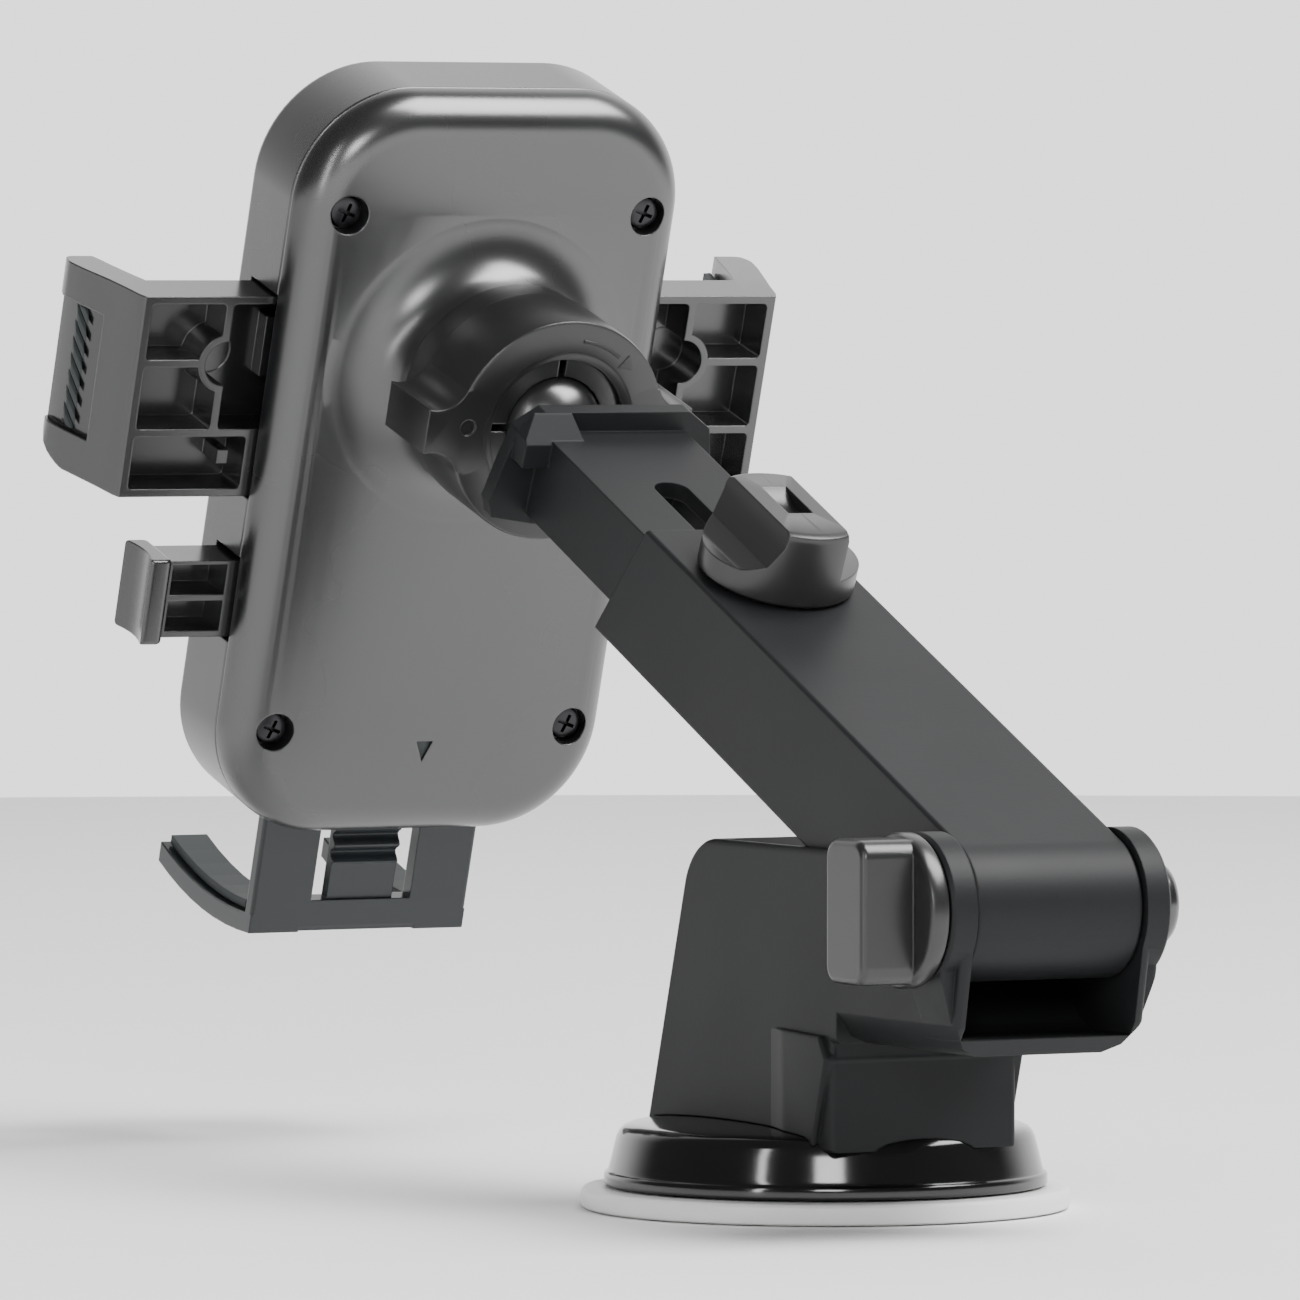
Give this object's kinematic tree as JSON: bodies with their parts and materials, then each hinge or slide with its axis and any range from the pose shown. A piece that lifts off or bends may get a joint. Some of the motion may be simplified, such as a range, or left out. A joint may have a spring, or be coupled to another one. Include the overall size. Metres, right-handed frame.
{
  "type": "suction phone mount",
  "caption": "Telescopic dashboard phone mount: suction base with a lock lever, swinging arm, ball joint and a clip head with geared claws, release buttons and a sliding foot.",
  "frame": {"origin": "centre of the gel pad's underside, on the surface the mount sticks to", "axes": "+Z away from that surface, +Y to the rear where the arm is hinged, so the phone rests on the -Y side, +X to the side of the pivot knob"},
  "size_m": [0.1166, 0.2526, 0.1656],
  "materials": {
    "white_gel": "soft, slightly glossy gel",
    "black_gloss": "polished",
    "black_matt": "fine texture",
    "black_satin": "satin",
    "rubber": "matt",
    "zinc_steel": "zinc plated"
  },
  "bodies": {
    "base": {"gel_pad": "white_gel", "suction_spring": "zinc_steel", "dome_cover": "black_gloss", "pedestal": "black_matt", "lever_pin": "zinc_steel", "base_screw_1": "zinc_steel", "base_screw_2": "zinc_steel", "pivot_nut": "zinc_steel", "pivot_cap": "black_satin", "friction_washer_1": "rubber", "friction_washer_2": "rubber"},
    "lock_lever": {"lock_lever": "black_matt"},
    "plunger": {"plunger": "black_satin"},
    "pivot_knob": {"pivot_knob": "black_satin", "pivot_bolt": "zinc_steel"},
    "lower_arm": {"lower_arm": "black_matt", "clamp_plate": "zinc_steel"},
    "length_knob": {"length_knob": "black_satin", "length_bolt": "zinc_steel"},
    "upper_arm": {"upper_arm": "black_matt", "ball_stud": "black_gloss", "stud_screw": "zinc_steel"},
    "ball_seat": {"ball_pad": "rubber"},
    "ball_cup": {"ball_socket": "black_satin"},
    "head": {"back_cover": "black_satin", "front_shell": "black_satin", "front_pad": "rubber", "head_screw_1": "zinc_steel", "head_screw_2": "zinc_steel", "head_screw_3": "zinc_steel", "head_screw_4": "zinc_steel", "pinion_screw": "zinc_steel", "claw_spring": "zinc_steel", "button_spring_left": "zinc_steel", "button_spring_right": "zinc_steel"},
    "ball_nut": {"ball_nut": "black_satin"},
    "claw_left": {"claw_left": "black_satin", "claw_pad_left": "rubber"},
    "claw_right": {"claw_right": "black_satin", "claw_pad_right": "rubber"},
    "pinion": {"pinion": "black_satin"},
    "button_left": {"button_left": "black_satin"},
    "button_right": {"button_right": "black_satin"},
    "foot": {"foot": "black_satin", "foot_pad_left": "rubber", "foot_pad_right": "rubber"}
  },
  "joints": [
    {"name": "lever_swing", "type": "hinge", "parent": "base", "child": "lock_lever", "pos_m": [0, -0.0145, 0.025], "axis": [1, 0, 0], "range_deg": [0, 80]},
    {"name": "plunger_drop", "type": "slide", "parent": "base", "child": "plunger", "axis": [0, 0, -1], "range_m": [0, 0.00254]},
    {"name": "pivot_knob_turn", "type": "hinge", "parent": "base", "child": "pivot_knob", "pos_m": [0, 0.0575, 0.0456], "axis": [1, 0, 0], "continuous": true},
    {"name": "arm_swing", "type": "hinge", "parent": "base", "child": "lower_arm", "pos_m": [0, 0.0575, 0.0456], "axis": [-1, 0, 0], "range_deg": [-7, 120]},
    {"name": "length_knob_turn", "type": "hinge", "parent": "lower_arm", "child": "length_knob", "pos_m": [0, -0.01951, 0.08037], "axis": [0, 0.4115, 0.9114], "continuous": true},
    {"name": "arm_extend", "type": "slide", "parent": "lower_arm", "child": "upper_arm", "axis": [0, -0.9114, 0.4115], "range_m": [-0.026, 0.035]},
    {"name": "head_pan", "type": "hinge", "parent": "upper_arm", "child": "ball_seat", "pos_m": [0, -0.08823, 0.1114], "axis": [0, 0.314, 0.9494], "range_deg": [-20, 20]},
    {"name": "head_tilt", "type": "hinge", "parent": "ball_seat", "child": "ball_cup", "pos_m": [0, -0.08823, 0.1114], "axis": [1, 0, 0], "range_deg": [-28, 18]},
    {"name": "head_roll", "type": "hinge", "parent": "ball_cup", "child": "head", "pos_m": [0, -0.08823, 0.1114], "axis": [0, 0.9494, -0.314], "continuous": true},
    {"name": "ball_nut_turn", "type": "hinge", "parent": "head", "child": "ball_nut", "pos_m": [0, -0.08823, 0.1114], "axis": [0, 0.9494, -0.314], "continuous": true},
    {"name": "claw_left_slide", "type": "slide", "parent": "head", "child": "claw_left", "axis": [-1, 0, 0], "range_m": [0, 0.016]},
    {"name": "claw_right_slide", "type": "slide", "parent": "head", "child": "claw_right", "axis": [1, 0, 0], "range_m": [0, 0.016]},
    {"name": "pinion_turn", "type": "hinge", "parent": "head", "child": "pinion", "pos_m": [0, -0.12825, 0.11779], "axis": [0, -0.9494, 0.314], "range_deg": [0, 153]},
    {"name": "button_left_press", "type": "slide", "parent": "head", "child": "button_left", "axis": [-1, 0, 0], "range_m": [0, 0.003], "stiffness_N_per_m": 300, "springref_m": -0.002},
    {"name": "button_right_press", "type": "slide", "parent": "head", "child": "button_right", "axis": [1, 0, 0], "range_m": [0, 0.003], "stiffness_N_per_m": 300, "springref_m": -0.002},
    {"name": "foot_slide", "type": "slide", "parent": "head", "child": "foot", "axis": [0, -0.314, -0.9494], "range_m": [-0.009, 0.014]}
  ],
  "couplings": [
    {"joint": "plunger_drop", "follows": "lever_swing", "m_per_rad": 0.001812},
    {"joint": "claw_right_slide", "follows": "claw_left_slide", "ratio": 1},
    {"joint": "pinion_turn", "follows": "claw_left_slide", "rad_per_m": 166.67}
  ]
}
